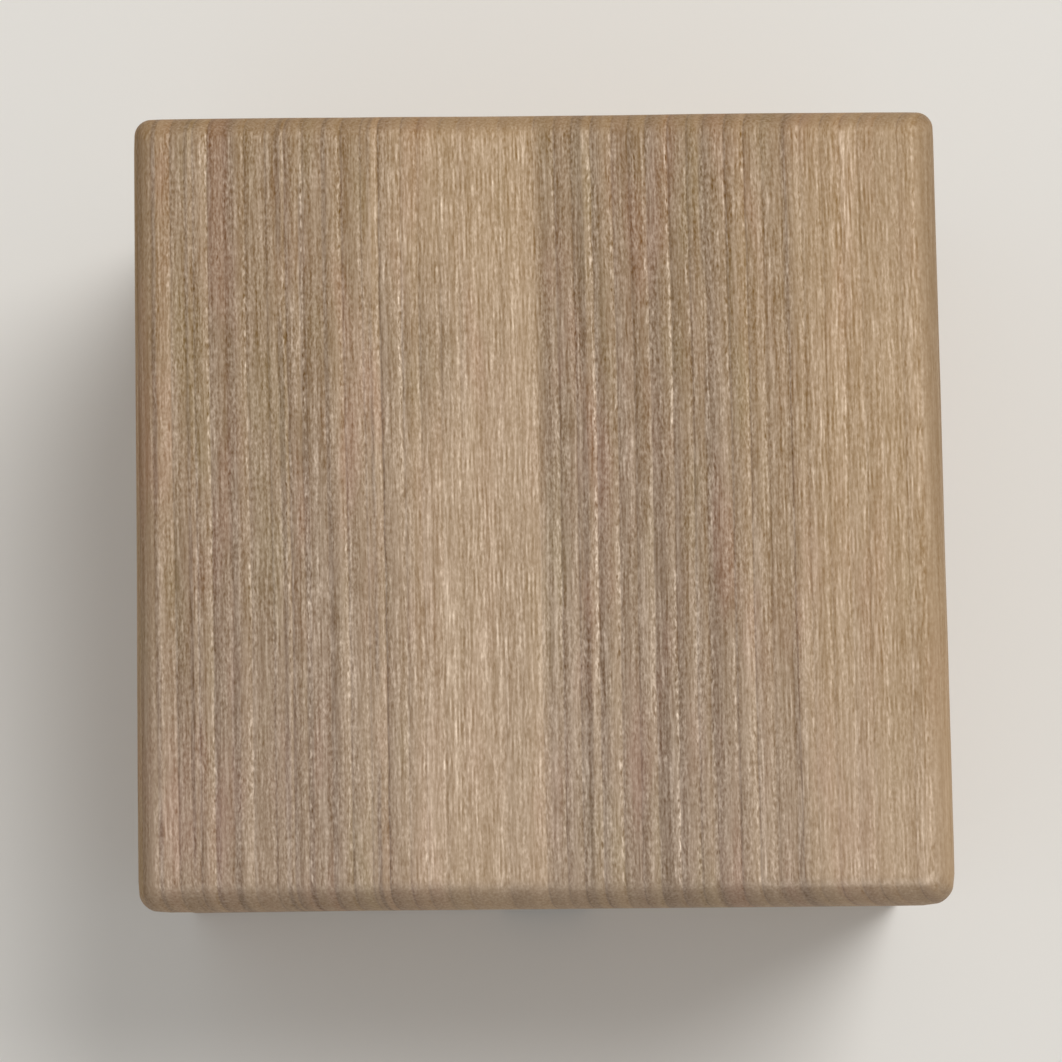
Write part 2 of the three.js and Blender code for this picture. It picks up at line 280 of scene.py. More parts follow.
class Graph:
    """The nodes of one material, or of the world, built up as formulas."""

    def __init__(self, owner):
        owner.use_nodes = True
        self.owner = owner
        self.tree = owner.node_tree
        self.tree.nodes.clear()

    def node(self, kind, inputs=(), **settings):
        """Adds a node. inputs pairs a socket's name or number with a wire or a plain value."""
        made = self.tree.nodes.new("ShaderNode" + kind)
        for name, value in settings.items():
            setattr(made, name, value)
        for key, value in dict(inputs).items():
            self.feed(made.inputs[key], value)
        return made

    def feed(self, socket, value):
        if isinstance(value, Wire):
            self.tree.links.new(value.socket, socket)
        else:
            socket.default_value = value

    def wire(self, node, output=0):
        return Wire(self, node.outputs[output])

    def math(self, operation, *values):
        return self.wire(self.node("Math", enumerate(values), operation=operation))

    def combine(self, x, y, z):
        return self.wire(self.node("CombineXYZ", enumerate((x, y, z))))

    def separate(self, vector):
        split = self.node("SeparateXYZ", {0: vector})
        return [self.wire(split, axis) for axis in range(3)]

    def place(self):
        """The point on the surface, as three wires in millimetres."""
        point = self.wire(self.node("TexCoord"), "Object")
        return [axis / MM for axis in self.separate(point)]

    def facing(self):
        """How far the surface faces along each axis, from 0 to 1, as three wires."""
        normal = self.wire(self.node("TexCoord"), "Normal")
        return [self.math("ABSOLUTE", axis) for axis in self.separate(normal)]

    def chances(self, number):
        """Three random levels from 0 to 1 that change with each whole number."""
        made = self.node("TexWhiteNoise", {"W": number}, noise_dimensions="1D")
        return self.separate(self.wire(made, "Color"))

    def noise(self, x, y=0.0, z=0.0, detail=1.0, roughness=0.5):
        """Smooth noise from about -1 to 1, with features one unit across."""
        made = self.node(
            "TexNoise",
            {"Vector": self.combine(x, y, z), "Scale": 1.0, "Detail": detail, "Roughness": roughness},
        )
        return self.wire(made) * 2 - 1

    def rise(self, value, low, high):
        """0 below low and 1 above high, with a smooth step between them."""
        inputs = {"Value": value, "From Min": low, "From Max": high}
        return self.wire(self.node("MapRange", inputs, interpolation_type="SMOOTHSTEP"))

    def bell(self, value, centre, width):
        """1 where value is at centre, falling smoothly to 0 at width from it."""
        return self.rise(self.math("ABSOLUTE", value - centre), width, 0.0)

    def mix(self, share, first, second, blend="MIX"):
        inputs = {"Factor": share, FIRST_COLOUR: first, SECOND_COLOUR: second}
        made = self.node("Mix", inputs, data_type="RGBA", blend_type=blend, clamp_factor=True)
        return self.wire(made, MIXED_COLOUR)

    def tint(self, colour, share, tint):
        """Multiplies a colour by a tint, as far as share says."""
        return self.mix(share, colour, tint, blend="MULTIPLY")

    def brighten(self, colour, stops):
        """Doubles a colour's light for each stop."""
        gain = self.math("POWER", 2.0, stops)
        made = self.node("VectorMath", {0: colour, "Scale": gain}, operation="SCALE")
        return self.wire(made)

    def lay_over(self, colour, stops, light):
        """Doubles this much light for each stop, and adds what that gains or loses to a colour."""
        gain = self.math("POWER", 2.0, stops) - 1
        inputs = {0: self.combine(gain, gain, gain), 1: light, 2: colour}
        return self.wire(self.node("VectorMath", inputs, operation="MULTIPLY_ADD"))

    def curve(self, value, points):
        """Reads a value off straight lines through (place, level) points."""
        low, high = points[0][0], points[-1][0]
        ramp = self.node("ValToRGB", {0: (value - low) / (high - low)})
        stops = ramp.color_ramp.elements
        for place, _ in points[1:-1]:
            stops.new((place - low) / (high - low))
        for stop, (_, level) in zip(stops, points):
            stop.color = (level, level, level, 1)
        return self.separate(self.wire(ramp))[0]

    def finish(self, colour, roughness, height, bump_distance, specular):
        """Puts the shader on the surface and returns the material."""
        bump = self.node("Bump", {"Strength": 1.0, "Distance": bump_distance, "Height": height})
        shader = self.node(
            "BsdfPrincipled",
            {
                "Base Color": colour,
                "Roughness": roughness,
                "Normal": self.wire(bump),
                "Specular IOR Level": specular,
            },
        )
        self.node("OutputMaterial", {"Surface": self.wire(shader)})
        return self.owner


def opaque(colour):
    """A colour property as the four numbers that a colour socket takes."""
    return (*colour, 1.0)


class Wood(Graph):
    """Planed paulownia for one board, with its growth rings running through its thickness.

    Places are in millimetres: across the grain, along it, and depth below the board's face. end
    and side say how far the surface is end grain, or the board's narrow side, from 0 to 1."""

    # Size of each kind of fine figure in millimetres: across the growth, along it, and down.
    STREAKS = (1.9, 130, 8)
    LINES = (0.95, 45, 1.2)
    FIBRES = (0.55, 6, 0.6)
    FLECKS = (0.4, 1, 0.45)
    # An even ripple runs across the growth, at this many radians to the millimetre.
    RIPPLE = 7.2

    def __init__(self, board, number, timber):
        super().__init__(bpy.data.materials.new(f"{board} wood"))
        self.timber = timber
        self.seed = NEXT_BOARD * number
        point = dict(zip(AXES, self.place()))
        facing = dict(zip(AXES, self.facing()))
        across, along, inward = GRAIN[board]
        face = max(abs(corner[AXES.index(inward)]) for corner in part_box(board)) / MM
        self.across = point[across]
        self.along = point[along]
        self.depth = face - self.math("ABSOLUTE", point[inward])
        self.end = self.rise(facing[along], 0.05, 0.8)
        self.side = self.rise(facing[across], 0.1, 0.8)
        self.grow()

    def bands(self, across, along, pattern=0, **settings):
        """Noise that follows the growth, with features this many millimetres across and along."""
        return self.noise(self.ring / across, self.along / along, self.seed + pattern, **settings)

    def strands(self, size, **settings):
        """Noise that shivers with the growth, with features of one of the sizes above."""
        across, along, down = size
        layer = self.depth / down + self.seed
        return self.noise(self.shaken / across, self.along / along, layer, **settings)

    def grow(self):
        """Each ring runs slightly askew along the board, wanders, and curves away below its face.

        ring is the place across the growth in millimetres, and shaken is the same with its small
        shivers. year numbers the rings, and part is how much of a ring's width has been passed."""
        across, along, depth, seed = self.across, self.along, self.depth, self.seed
        wander = self.noise(across / 60, along / 150, seed) * 0.9
        lean = self.rise(across, 20, 80) * 0.4 + 0.12
        self.ring = across + along * 0.008 + wander - depth * lean - depth * depth * 0.01
        self.shaken = self.ring + self.noise(across / 2.5, along / 9, seed + depth / 6) * 0.2
        count = self.shaken / (self.timber.ring / MM) + self.bands(9, 900, pattern=7) * 0.5
        self.year = self.math("FLOOR", count)
        self.part = count - self.year
        self.strong, self.rosy, self.bright = self.chances(self.year + seed)

    def tone(self, broad, dark_lines=()):
        """How pale the wood is, from 0 for the brown heart to 1. broad is the same, without rings.

        Each ring starts dark and grows paler. End grain is more even. brown is 1 at the heart."""
        part = self.part
        tone = broad - (broad - 0.5) * self.end * 0.65
        self.brown = self.rise(tone, 1.0, 0.45)
        ringed = (self.strong * 0.8 + 0.2) * (self.brown * 0.8 + 0.2)
        grown = self.rise(part, 0.0, 0.85) * self.rise(part, 1.0, 0.93)
        tone = tone + (grown - 0.6) * ringed * 0.58 + (self.bright - 0.5) * (self.brown * 0.26 + 0.05)
        tone = tone - self.bell(part, 0.05, 0.07) * ringed * 0.6
        tone = tone + self.bands(5, 120) * 0.3
        for centre, width, strength in dark_lines:
            fade = self.rise(self.noise(centre, self.along / 30, self.seed), -0.6, 0.3)
            tone = tone - self.bell(self.shaken, centre, width) * fade * (1.4 * strength)
        return tone

    def figure(self):
        """The fine figure, in stops of light. End grain shows dots, and narrow sides long lines."""
        across, along, depth, brown = self.across, self.along, self.depth, self.brown
        streaks = self.strands(self.STREAKS, detail=2, roughness=0.6)
        lines = self.strands(self.LINES, detail=3, roughness=0.7)
        fibres = self.strands(self.FIBRES, detail=2, roughness=0.6)
        flecks = self.strands(self.FLECKS)

        # The ripple comes and goes, and shows most in the pale wood.
        ripple = self.math("SINE", self.shaken * self.RIPPLE + self.bands(2, 25) * 3.0)
        ripple = ripple * self.noise(self.ring / 3, along / 6, self.seed + depth / 2 + 4)
        short = (fibres + ripple * (1.1 - brown * 0.6)) * (1 - self.side * 0.75)
        fine = lines * (brown * 0.2 + 0.85) + short
        lively = self.bands(7, 40, pattern=21) * 0.6 + 0.9
        figure = (streaks * 0.4 + fine * (1.0 - brown * 0.25)) * lively

        # The flecks are rough in some places and calm in others.
        rough = self.noise(self.shaken / 1.7, along / 22, self.seed + 31)
        rough = self.rise(rough, -0.45, 0.35) * 0.8 + 0.5
        figure = figure + flecks * rough * (0.5 + brown * 0.18)

        figure = figure * (1 - self.end * 0.8) * (1 - self.side * 0.4)
        dots = self.noise(across / 0.5, depth / 0.5, along / 0.5 + self.seed)
        long_lines = self.noise(depth / 0.6, along / 35, self.seed + 27, detail=3, roughness=0.7)
        return figure + dots * self.end * 0.45 + long_lines * self.side * 0.5

    def pores(self):
        """Open pores, in stops of light.

        Each ring ends in a row of short bright dashes with dark gaps, and loose ones lie between
        the rows. On end grain the rows are dark."""
        along, depth, seed, brown = self.along, self.depth, self.seed, self.brown
        strayed = self.part + self.noise(self.year * 3.1, along / 1.8, seed + 3) * 0.07
        row = self.bell(strayed, 0.88, 0.14) * (self.strong * 0.8 + 0.2) * (brown * 0.6 + 0.4)
        row = row * self.rise(self.bands(3, 28, pattern=17), -0.6, 0.2)
        torn = self.shaken + self.noise(self.across / 0.8, along / 1.5, seed + depth) * 0.18
        dashes = self.rise(self.noise(torn / 0.55, along / 1.5, depth + seed + 5), -0.2, 0.3)
        gaps = self.rise(self.noise(torn / 0.5, along / 1.9, depth + seed + 9), 0.15, 0.5)
        pores = dashes * (row * 0.85 + 0.2 - brown * 0.1) - gaps * (row * 0.8 + 0.25)
        return pores * (1 - self.end * 0.7) * (1 - self.side * 0.6) - row * self.end * 0.3

    def colour(self, tone, end_darkness):
        """The wood's own colour, with its rosy and greenish streaks and its darker end grain."""
        timber = self.timber
        colour = self.mix(tone, opaque(timber.heart), opaque(timber.pale))
        hue = self.bands(8, 40, pattern=13, detail=2) + (self.rosy - 0.5) * 0.2
        hue = hue * (self.brown * 0.6 + 0.4)
        colour = self.tint(colour, self.rise(hue, -0.05, 0.45), opaque(timber.rose))
        colour = self.tint(colour, self.rise(hue, -0.05, -0.5), opaque(timber.olive))
        return self.tint(colour, self.end * end_darkness, opaque(timber.end_grain))

    def planed(self, colour, figure, paler=0.0):
        """Lays the fine figure over the colour and returns the material."""
        colour = self.lay_over(colour, figure * self.timber.figure, tuple(self.timber.fibre))
        return self.finish(
            self.brighten(colour, paler), roughness=0.66 - figure * 0.08,
            height=figure, bump_distance=0.03 * MM, specular=0.3,
        )


def board_material(board, number, timber, paler=0.0):
    """Wood of a wall, the base board or a batten, unevenly yellowed by light."""
    wood = Wood(board, number, timber)
    tone = wood.tone(wood.bands(26, 400) * 1.5 + 0.5)
    yellowed = wood.noise(wood.across / 40, wood.along / 60) * 0.3 + 0.3
    colour = wood.tint(wood.colour(tone, end_darkness=0.9), yellowed, opaque(timber.sunned))
    return wood.planed(colour, wood.figure() + wood.pores(), paler)


def lid_material(timber):
    """Wood of the lid board: browned at its edges by hands and by painted shade, and yellowed towards
    the back.
    """
    wood = Wood("lid_board", LID_NUMBER, timber)
    across, along, depth, end = wood.across, wood.along, wood.depth, wood.end
    bruise = wood.bell(along, 30, 26) * wood.bell(across, -19, 18)
    tone = wood.tone(wood.curve(wood.ring, LID_TONES) - bruise * 0.3, LID_DARK_LINES)
    colour = wood.colour(tone, end_darkness=0.36)

    # Hands and painted shade have browned and darkened the edges, most at the left and at the back;
    # painted shade alone darkens the right one.
    handled_and_shaded = wood.rise(depth, 0.3, 5.0) * (1 - end * 0.6) * (0.8 - across / 300)
    handled_and_shaded = handled_and_shaded + wood.rise(along, 68, 76) * 0.3
    # Painted shade on the right edge, deepest towards the front.
    right_edge_shade = wood.rise(across, 73, 77) * (wood.rise(along, -60, 20) * 0.25 + 0.05)
    colour = wood.tint(colour, handled_and_shaded, opaque(timber.grime_and_shade))
    # Part of this darkening of the edges is painted shade.
    colour = wood.brighten(colour, 0 - handled_and_shaded * 0.15 - right_edge_shade)

    # Light has yellowed the back, and further forward at the sides than in the middle.
    sun = wood.math("ABSOLUTE", across + 12) * 0.75 + across * 0.15 + along
    sun = wood.rise(sun + wood.noise(across / 60, along / 60) * 25, -40, 100)
    colour = wood.tint(colour, sun * wood.rise(depth, 9.0, 2.0), opaque(timber.sunned))

    # The figure is calmer at the right, and paler along the front's upper edge, partly rubbed and
    # partly a painted highlight.
    figure = (wood.figure() + wood.pores()) * (1 - wood.rise(across, 44, 56) * 0.15)
    # A painted highlight, with some real rubbing, along the front's upper edge.
    worn_and_highlit = wood.bell(depth, 0.5, 0.6) * wood.rise(end, 0.0, 0.2) * wood.rise(along, 0, -50)
    figure = figure + worn_and_highlit * (wood.rise(across, 30, 60) * 0.2 + 0.15)
    return wood.planed(colour, figure)


def nail_material(timber):
    """Dense, fine-grained wood of the nails and pegs, seen mostly end on."""
    graph = Graph(bpy.data.materials.new("nail wood"))
    x, y, z = graph.place()
    rays = graph.noise(x / 0.35, y / 0.35, z / 0.35, detail=2)
    stain = graph.noise(x / 9, y / 9, z / 9)
    colour = graph.brighten(tuple(timber.nail), rays * 0.5 + stain * 0.4)
    return graph.finish(
        colour, roughness=0.5 + rays * 0.1, height=rays, bump_distance=0.02 * MM, specular=0.3,
    )


class Glaze(Graph):
    """Ash glaze over brown clay. It stops above the foot, and breaks brown at the rim.

    Places are in millimetres: x, y and z, radius from the bowl's axis, and height from its foot.
    tall is the whole bowl's height."""

    # Height at which the glaze stops outside, how far its hem and its drips reach from there, and
    # the height up to which the hollow under the foot is bare.
    GLAZE_LINE = 10.5
    HEM = 3
    DRIPS = 3.5
    HOLLOW_TOP = 7.0

    # Size of the crackle's cells in millimetres, and how strongly tea has stained it.
    CRACKLE = ((5.2, 0.4), (2.4, 0.22))

    def __init__(self, bowl, low, high):
        super().__init__(bpy.data.materials.new("ash glaze"))
        self.bowl = bowl
        self.x, self.y, self.z = self.place()
        self.height = self.z - low.z / MM
        self.tall = (high.z - low.z) / MM
        self.radius = self.math("SQRT", self.x * self.x + self.y * self.y)
        self.outside = self.rise(self.radius - self.height * 2.8, 0.5, 3.0)
        self.cloud = self.spots(22, detail=4, roughness=0.6)
        self.runs = self.noise(self.x / 5, self.y / 5, self.z / 35, detail=3)
        self.drips = self.noise(self.x / 14, self.y / 14, self.z / 60, detail=2) * self.DRIPS

    def spots(self, size, pattern=0, **settings):
        """Noise with features of the same size all ways."""
        return self.noise(self.x / size, self.y / size, self.z / size + pattern, **settings)

    def bare(self):
        """1 where the clay is left bare, and 0 on the glaze."""
        below = self.rise(self.GLAZE_LINE + self.drips - self.height, -0.2, 0.2)
        hollow = self.rise(self.HOLLOW_TOP - self.height, -0.2, 0.2)
        return self.math("MAXIMUM", below * self.outside, hollow)

    def thin(self):
        """How thin the glaze is: most on the rim, and here and there in rings, runs and its hem."""
        rings = self.noise(self.height / 3.2, self.x / 70, self.y / 70, detail=2)
        rim = self.rise(self.height, self.tall - 4.0, self.tall - 0.6)
        hem_top = self.GLAZE_LINE + self.HEM + self.drips
        hem = self.rise(hem_top - self.height, -1.5, 2.5) * self.outside
        return rim + hem * 0.55 + rings * 0.3 + self.runs * 0.35 - 0.08

    def colour(self, thin):
        """Rosy spots with soft edges, paler clouds, and iron specks that burn through."""
        bowl = self.bowl
        colour = self.mix(thin, opaque(bowl.glaze), opaque(bowl.thin_glaze))
        blush = self.spots(9, pattern=5, detail=2) + self.spots(40) * 0.5
        colour = self.mix(self.rise(blush, 0.2, 0.75) * 0.75, colour, opaque(bowl.blush))
        colour = self.brighten(colour, self.cloud * 0.3 + self.runs * 0.08)
        colour = self.stained_crackle(colour)
        speck = self.rise(self.spots(1.3, detail=2), 0.52, 0.7)
        return self.tint(colour, speck * 0.7, opaque(bowl.iron))

    def stained_crackle(self, colour):
        """Fine cracks stained by tea, which come and go over the bowl."""
        bent = self.spots(5) * 0.35
        for size, stain in self.CRACKLE:
            place = self.combine(self.x / size + bent, self.y / size - bent, self.z / size + bent)
            inputs = {"Vector": place, "Scale": 1.0}
            cells = self.node("TexVoronoi", inputs, feature="DISTANCE_TO_EDGE")
            crackle = self.rise(self.wire(cells) * size, 0.16, 0.02)
            fade = self.rise(self.spots(18, pattern=size), -0.4, 0.4)
            colour = self.tint(colour, crackle * fade * stain, opaque(self.bowl.stain))
        return colour


def glaze_material(bowl, low, high):
    """The bowl's glaze, and the bare clay at its foot with the marks of turning."""
    graph = Glaze(bowl, low, high)
    bare = graph.bare()
    thin = graph.thin()
    grit = graph.spots(0.7, detail=3, roughness=0.7)
    turning = graph.noise(graph.height / 0.6, graph.radius / 0.6)
    clay = graph.brighten(tuple(bowl.clay), grit * 0.4 + turning * 0.3 + graph.cloud * 0.5)
    colour = graph.mix(bare, graph.colour(thin), clay)

    roughness = (0.3 + graph.runs * 0.06 + thin * 0.08) * (1 - bare) + bare * 0.85
    dimples = graph.spots(2.2, detail=2)
    relief = (graph.cloud * 0.3 + dimples * 0.12) * (1 - bare)
    relief = relief + (grit * 0.5 + turning * 0.3 - 0.9) * bare
    return graph.finish(colour, roughness, height=relief, bump_distance=0.25 * MM, specular=0.5)


def plain_material(name, colour, roughness):
    graph = Graph(bpy.data.materials.new(name))
    shader = graph.node("BsdfPrincipled", {"Base Color": opaque(colour), "Roughness": roughness})
    graph.node("OutputMaterial", {"Surface": graph.wire(shader)})
    return graph.owner


def dress(name, material):
    """Gives a CAD node's object its finish."""
    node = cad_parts[name]
    for slot in node.material_slots:
        slot.material = material


def only(piece):
    """Leaves this piece alone selected and active."""
    bpy.ops.object.select_all(action="DESELECT")
    piece.select_set(True)
    bpy.context.view_layer.objects.active = piece


def clamped(share):
    """A share held between 0 and 1."""
    return min(1, max(0, share))


def copy_board(name):
    """A copy of a CAD node's board, with its faces whole, left active in edit mode."""
    board = bpy.data.objects.new(f"planed_{name}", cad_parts[name].data.copy())
    bpy.context.scene.collection.objects.link(board)
    only(board)
    bpy.ops.object.mode_set(mode="EDIT")
    bpy.ops.mesh.select_all(action="SELECT")
    bpy.ops.mesh.remove_doubles(threshold=SAME_PLACE)
    bpy.ops.mesh.dissolve_limited(angle_limit=SAME_FACE)
    return board


def eased_board(name):
    """A copy of a CAD node's board with its long sharp edges planed off."""
    board = copy_board(name)
    bpy.ops.mesh.select_mode(type="EDGE")
    bpy.ops.mesh.select_all(action="DESELECT")
    bpy.ops.mesh.edges_select_sharp(sharpness=SHARP_EDGE)
    bpy.ops.object.mode_set(mode="OBJECT")
    for edge in board.data.edges:
        start, end = (board.data.vertices[number].co for number in edge.vertices)
        edge.select = edge.select and (end - start).length > SHORT_EDGE
    bpy.ops.object.mode_set(mode="EDIT")
    bpy.ops.mesh.bevel(offset=EASING, segments=2, affect="EDGES", clamp_overlap=True)
    bpy.ops.object.mode_set(mode="OBJECT")
    bpy.ops.object.shade_flat()
    return board


def put_in_place(piece, material, body, node):
    """Gives a finished piece its material, and lets it stand in for the CAD node."""
    piece.data.materials.clear()
    piece.data.materials.append(material)
    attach(piece, body)
    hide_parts(node)


def apply_modifiers(piece):
    only(piece)
    for modifier in list(piece.modifiers):
        bpy.ops.object.modifier_apply(modifier=modifier.name)


class TEABOWLBOX_OT_studio(Operator):
    """Sets up the camera, the floor, the lamp and the soft light"""

    bl_idname = "teabowlbox.studio"
    bl_label = "Studio"

    # Width of the camera's sensor in millimetres. Then, in metres, the nearest and the farthest
    # that it sees, the width of the floor, and the place that the lamp shines at.
    SENSOR = 36
    NEAREST = 0.05
    FARTHEST = 20
    FLOOR_WIDTH = 12
    LAMP_AIM = (0, 0, 0.08)

    def execute(self, context):
        studio = context.scene.teabowlbox_studio
        self.add_camera(context.scene, studio)
        self.add_floor(studio)
        self.add_key(studio)
        self.add_sky(context.scene, studio)
        context.scene.view_settings.view_transform = "Standard"
        return {"FINISHED"}

    def add_camera(self, scene, studio):
        bpy.ops.object.camera_add(location=studio.camera_place, rotation=studio.camera_turn)
        camera = bpy.context.object
        camera.name = "camera"
        camera.data.sensor_width = self.SENSOR
        camera.data.lens = studio.lens
        camera.data.clip_start = self.NEAREST
        camera.data.clip_end = self.FARTHEST
        scene.camera = camera

    def add_floor(self, studio):
        bpy.ops.mesh.primitive_plane_add(size=self.FLOOR_WIDTH, location=(0, 0, 0))
        floor = bpy.context.object
        floor.name = "floor"
        floor.data.materials.append(plain_material("floor", studio.floor, roughness=0.9))

    def add_key(self, studio):
        bpy.ops.object.light_add(type="AREA", location=studio.key_place)
        key = bpy.context.object
        key.name = "key"
        key.data.shape = "DISK"
        key.data.size = studio.key_width
        key.data.energy = studio.key_power
        aim = Vector(self.LAMP_AIM) - key.location
        key.rotation_euler = aim.to_track_quat("-Z", "Y").to_euler()

    def add_sky(self, scene, studio):
        """Soft light from all round. What looks at it or mirrors it sees plain white."""
        scene.world = scene.world or bpy.data.worlds.new("world")
        graph = Graph(scene.world)
        path = graph.node("LightPath")
        seen = graph.wire(path, "Is Camera Ray")
        for ray in ("Is Glossy Ray", "Is Transmission Ray"):
            seen = graph.math("MAXIMUM", seen, graph.wire(path, ray))
        light = graph.wire(graph.node("Background", {"Color": WHITE, "Strength": studio.sky}))
        plain = graph.wire(graph.node("Background", {"Color": WHITE, "Strength": 1}))
        mixed = graph.node("MixShader", {0: seen, 1: light, 2: plain})
        graph.node("OutputWorld", {"Surface": graph.wire(mixed)})


class TEABOWLBOX_OT_lid_board(Operator):
    """Planes the lid board by hand: the same board, very slightly uneven, with its grain"""

    bl_idname = "teabowlbox.lid_board"
    bl_label = "Lid board"

    # Width of the strips that the faces are cut into, so that the surface can bend.
    STRIP = 6 * MM

    # Height and width of the shallow waves that the plane leaves.
    UNEVEN = 0.5 * MM
    WAVE = 45 * MM

    # Lean of the sides and of the ends. Out from the middle, the board is true up to the first
    # share of the way, and leans in full from the second.
    SIDES_LEAN = -0.0036
    ENDS_LEAN = -0.0045
    TRUE_PART = 0.85
    SAWN_PART = 0.93

    # How far wear reaches along the edges from each corner, and how much it takes off there.
    CORNER = 7 * MM
    FRONT_WEAR = 0.9 * MM
    BACK_WEAR = 0.3 * MM

    # Edges sharper than this still show as edges.
    SHOWN_EDGE = math.radians(40)

    def execute(self, context):
        low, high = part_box("lid_board")
        lid = copy_board("lid_board")
        self.cut_strips(low, high)
        bpy.ops.object.mode_set(mode="OBJECT")
        self.weight_upper_half(lid, low.z, high.z)
        self.make_uneven(lid)
        self.put_out_of_square(lid, high)
        self.wear_corners(lid, high)
        bpy.ops.object.shade_smooth_by_angle(angle=self.SHOWN_EDGE)
        material = lid_material(context.scene.teabowlbox_timber)
        put_in_place(lid, material, "lid", "lid_board")
        return {"FINISHED"}

    def cut_strips(self, low, high):
        """Cuts the faces into strips both ways."""
        for axis, normal in ((0, (1, 0, 0)), (1, (0, 1, 0))):
            count = round((high[axis] - low[axis]) / self.STRIP)
            for cut in range(1, count):
                point = [0, 0, 0]
                point[axis] = low[axis] + (high[axis] - low[axis]) * cut / count
                bpy.ops.mesh.select_all(action="SELECT")
                bpy.ops.mesh.bisect(plane_co=point, plane_no=normal)

    def weight_upper_half(self, lid, bottom, top):
        """The underside stays true, because the battens lie against it."""
        group = lid.vertex_groups.new(name="upper")
        for vertex in lid.data.vertices:
            share = (vertex.co.z - bottom) / (top - bottom)
            group.add([vertex.index], clamped(2 * share), "REPLACE")

    def make_uneven(self, lid):
        waves = bpy.data.textures.new("plane waves", "CLOUDS")
        waves.noise_scale = self.WAVE
        displace = lid.modifiers.new("uneven", "DISPLACE")
        displace.texture = waves
        displace.texture_coords = "LOCAL"
        displace.strength = self.UNEVEN
        displace.mid_level = 0.5
        displace.vertex_group = "upper"
        apply_modifiers(lid)

    def put_out_of_square(self, lid, high):
        """Leans the board's outer edges a little, as they were sawn. Its middle stays true."""
        for vertex in lid.data.vertices:
            x, y = vertex.co.x, vertex.co.y
            reach = max(abs(x) / high.x, abs(y) / high.y)
            share = clamped((reach - self.TRUE_PART) / (self.SAWN_PART - self.TRUE_PART))
            vertex.co.x += self.SIDES_LEAN * y * share
            vertex.co.y += self.ENDS_LEAN * x * share

    def wear_corners(self, lid, high):
        """Rounds the corners a little more, the two at the front most."""
        for vertex in lid.data.vertices:
            place = vertex.co
            inset = high.x - abs(place.x) + high.y - abs(place.y)
            share = max(0, 1 - inset / self.CORNER) ** 2
            wear = share * (self.FRONT_WEAR if place.y < 0 else self.BACK_WEAR)
            place.x -= math.copysign(wear, place.x)
            place.y -= math.copysign(wear, place.y)


class TEABOWLBOX_OT_battens(Operator):
    """Planes the four battens under the lid, with their edges slightly eased"""

    bl_idname = "teabowlbox.battens"
    bl_label = "Battens"

    def execute(self, context):
        timber = context.scene.teabowlbox_timber
        for number, name in enumerate(BATTENS, start=FIRST_BATTEN):
            material = board_material(name, number, timber, BATTENS_PALER)
            put_in_place(eased_board(name), material, "lid", name)
        return {"FINISHED"}


class TEABOWLBOX_OT_walls(Operator):
    """Planes the four walls and the base board, with their edges slightly eased"""

    bl_idname = "teabowlbox.walls"
    bl_label = "Walls and base"

    def execute(self, context):
        timber = context.scene.teabowlbox_timber
        for number, name in enumerate(WALLS, start=FIRST_WALL):
            material = board_material(name, number, timber)
            put_in_place(eased_board(name), material, "box", name)
        return {"FINISHED"}


class TEABOWLBOX_OT_nails(Operator):
    """Finishes the wooden nails and pegs"""

    bl_idname = "teabowlbox.nails"
    bl_label = "Nails and pegs"

    def execute(self, context):
        material = nail_material(context.scene.teabowlbox_timber)
        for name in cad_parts:
            if "_nail_" in name or "_peg_" in name:
                dress(name, material)
        return {"FINISHED"}


